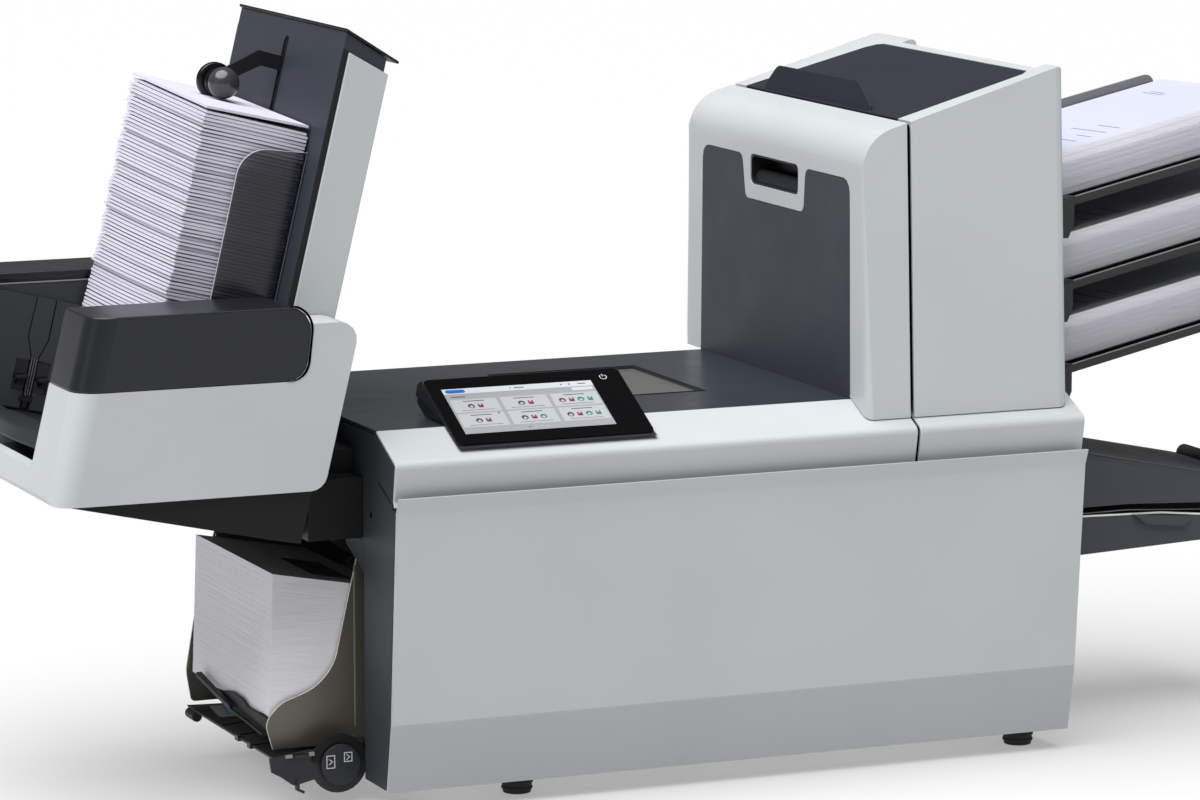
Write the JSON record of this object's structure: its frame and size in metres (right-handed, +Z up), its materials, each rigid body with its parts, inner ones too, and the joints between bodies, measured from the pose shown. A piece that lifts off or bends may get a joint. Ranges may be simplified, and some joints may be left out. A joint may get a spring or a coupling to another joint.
{
  "type": "folder inserter",
  "caption": "Tabletop mailroom machine that folds sheets from tilted trays, puts them in envelopes from a side hopper and stacks them on a leaning catch tray.",
  "frame": {"origin": "centre of the footprint, on the table under the feet", "axes": "+X to the operator's right, towards the document trays; +Y away from the operator; +Z up"},
  "size_m": [1.2932, 0.441, 0.7053],
  "materials": {
    "light_shell": "light grey, satin",
    "slate_shell": "dark slate, satin",
    "black_plastic": "black, satin",
    "sheet_steel": "zinc plated",
    "gunmetal": "semi gloss bronze grey",
    "sheet_paper": "uncoated",
    "roller_rubber": "matt",
    "smoked_plastic": "smoked, clear",
    "screen_gloss": "black, gloss"
  },
  "bodies": {
    "machine": {"chassis": "sheet_steel", "foot_front_left": "roller_rubber", "foot_front_right": "roller_rubber", "foot_rear_left": "roller_rubber", "foot_rear_right": "roller_rubber", "left_end_cover": "slate_shell", "front_cover_left": "light_shell", "front_cover_right": "light_shell", "deck_cover": "slate_shell", "window_panel": "smoked_plastic", "rear_cover": "slate_shell", "door_hinge_rod": "sheet_steel", "tower_cover": "light_shell", "screen_mount": "slate_shell", "screen_housing": "slate_shell", "screen_glass": "screen_gloss", "power_inlet": "black_plastic", "drive_motor": "black_plastic", "stacker_body": "light_shell", "stacker_cap_front": "slate_shell", "stacker_cap_rear": "slate_shell", "stacker_base": "black_plastic", "stacker_column": "slate_shell", "column_panel": "light_shell", "column_top": "black_plastic", "stacker_guide": "smoked_plastic", "upper_envelopes": "sheet_paper", "hopper_tray": "slate_shell", "hopper_plate": "slate_shell", "lower_envelopes": "sheet_paper", "tray_1": "slate_shell", "tray_2": "slate_shell", "tray_3": "slate_shell", "paper_stack_1": "sheet_paper", "paper_stack_2": "sheet_paper", "paper_stack_3": "sheet_paper", "feeder_lower": "slate_shell"},
    "door": {"front_door": "light_shell"},
    "access": {"access_cover": "light_shell", "access_insert": "slate_shell", "handle_cup": "black_plastic"},
    "lid": {"tower_lid": "slate_shell"},
    "switch_rocker": {"power_switch": "black_plastic"},
    "upper_roller": {"fold_roller_upper": "sheet_steel"},
    "lower_roller": {"fold_roller_lower": "sheet_steel"},
    "feed_shaft": {"transport_roller": "roller_rubber"},
    "arm": {"stacker_arm": "black_plastic"},
    "arm_roller": {"stacker_roller": "black_plastic"},
    "hopper_front": {"hopper_guide_front": "gunmetal"},
    "hopper_rear": {"hopper_guide_rear": "gunmetal"},
    "dial": {"hopper_dial": "slate_shell"},
    "lever": {"hopper_lever": "black_plastic"},
    "feeder_table": {"feeder_upper": "slate_shell"},
    "end_roller": {"feeder_roller": "black_plastic"},
    "front_guide_1": {"tray_guide_front_1": "smoked_plastic"},
    "rear_guide_1": {"tray_guide_rear_1": "slate_shell"},
    "front_guide_2": {"tray_guide_front_2": "smoked_plastic"},
    "rear_guide_2": {"tray_guide_rear_2": "slate_shell"},
    "front_guide_3": {"tray_guide_front_3": "smoked_plastic"},
    "rear_guide_3": {"tray_guide_rear_3": "slate_shell"}
  },
  "joints": [
    {"name": "door_swing", "type": "hinge", "parent": "machine", "child": "door", "pos_m": [0.0075, -0.177, 0.026], "axis": [1, 0, 0], "range_deg": [0, 78]},
    {"name": "access_swing", "type": "hinge", "parent": "machine", "child": "access", "pos_m": [0.134, -0.214, 0.3497], "axis": [0, -1, 0], "range_deg": [0, 55]},
    {"name": "lid_swing", "type": "hinge", "parent": "machine", "child": "lid", "pos_m": [0.3165, -0.214, 0.64471], "axis": [0, 1, 0], "range_deg": [0, 75]},
    {"name": "switch_rock", "type": "hinge", "parent": "machine", "child": "switch_rocker", "pos_m": [0.305, 0.214, 0.0745], "axis": [1, 0, 0], "range_deg": [-9, 0]},
    {"name": "upper_roller_spin", "type": "hinge", "parent": "machine", "child": "upper_roller", "pos_m": [0.0675, -0.214, 0.205], "axis": [0, 1, 0], "continuous": true},
    {"name": "lower_roller_spin", "type": "hinge", "parent": "machine", "child": "lower_roller", "pos_m": [0.0675, -0.214, 0.1744], "axis": [0, 1, 0], "continuous": true},
    {"name": "feed_shaft_spin", "type": "hinge", "parent": "machine", "child": "feed_shaft", "pos_m": [-0.1725, -0.214, 0.205], "axis": [0, 1, 0], "continuous": true},
    {"name": "arm_slide", "type": "slide", "parent": "machine", "child": "arm", "axis": [0.2351, 0, 0.972], "range_m": [0, 0.006]},
    {"name": "arm_roller_spin", "type": "hinge", "parent": "arm", "child": "arm_roller", "pos_m": [-0.4215, 0.0185, 0.6475], "axis": [0, 1, 0], "continuous": true},
    {"name": "hopper_front_slide", "type": "slide", "parent": "machine", "child": "hopper_front", "axis": [0, -1, 0], "range_m": [0, 0.012]},
    {"name": "hopper_rear_slide", "type": "slide", "parent": "machine", "child": "hopper_rear", "axis": [0, 1, 0], "range_m": [0, 0.012]},
    {"name": "dial_turn", "type": "hinge", "parent": "machine", "child": "dial", "pos_m": [-0.3615, -0.214, 0.037], "axis": [0, 1, 0], "range_deg": [0, 56]},
    {"name": "lever_swing", "type": "hinge", "parent": "machine", "child": "lever", "pos_m": [-0.4245, -0.01, 0.071], "axis": [0, 0, 1], "range_deg": [0, 20]},
    {"name": "front_guide_1_slide", "type": "slide", "parent": "machine", "child": "front_guide_1", "axis": [0, -1, 0], "range_m": [0, 0.006]},
    {"name": "rear_guide_1_slide", "type": "slide", "parent": "machine", "child": "rear_guide_1", "axis": [0, 1, 0], "range_m": [0, 0.006]},
    {"name": "front_guide_2_slide", "type": "slide", "parent": "machine", "child": "front_guide_2", "axis": [0, -1, 0], "range_m": [0, 0.006]},
    {"name": "rear_guide_2_slide", "type": "slide", "parent": "machine", "child": "rear_guide_2", "axis": [0, 1, 0], "range_m": [0, 0.006]},
    {"name": "front_guide_3_slide", "type": "slide", "parent": "machine", "child": "front_guide_3", "axis": [0, -1, 0], "range_m": [0, 0.006]},
    {"name": "rear_guide_3_slide", "type": "slide", "parent": "machine", "child": "rear_guide_3", "axis": [0, 1, 0], "range_m": [0, 0.006]},
    {"name": "feeder_table_swing", "type": "hinge", "parent": "machine", "child": "feeder_table", "pos_m": [0.3555, -0.214, 0.2786], "axis": [0, -1, 0], "range_deg": [0, 15]},
    {"name": "end_roller_spin", "type": "hinge", "parent": "feeder_table", "child": "end_roller", "pos_m": [0.6375, -0.214, 0.22146], "axis": [0, 1, 0], "continuous": true}
  ],
  "couplings": [
    {"joint": "lower_roller_spin", "follows": "upper_roller_spin", "ratio": -1},
    {"joint": "hopper_rear_slide", "follows": "hopper_front_slide", "ratio": 1},
    {"joint": "dial_turn", "follows": "hopper_front_slide", "rad_per_m": 80},
    {"joint": "rear_guide_1_slide", "follows": "front_guide_1_slide", "ratio": 1},
    {"joint": "rear_guide_2_slide", "follows": "front_guide_2_slide", "ratio": 1},
    {"joint": "rear_guide_3_slide", "follows": "front_guide_3_slide", "ratio": 1}
  ]
}
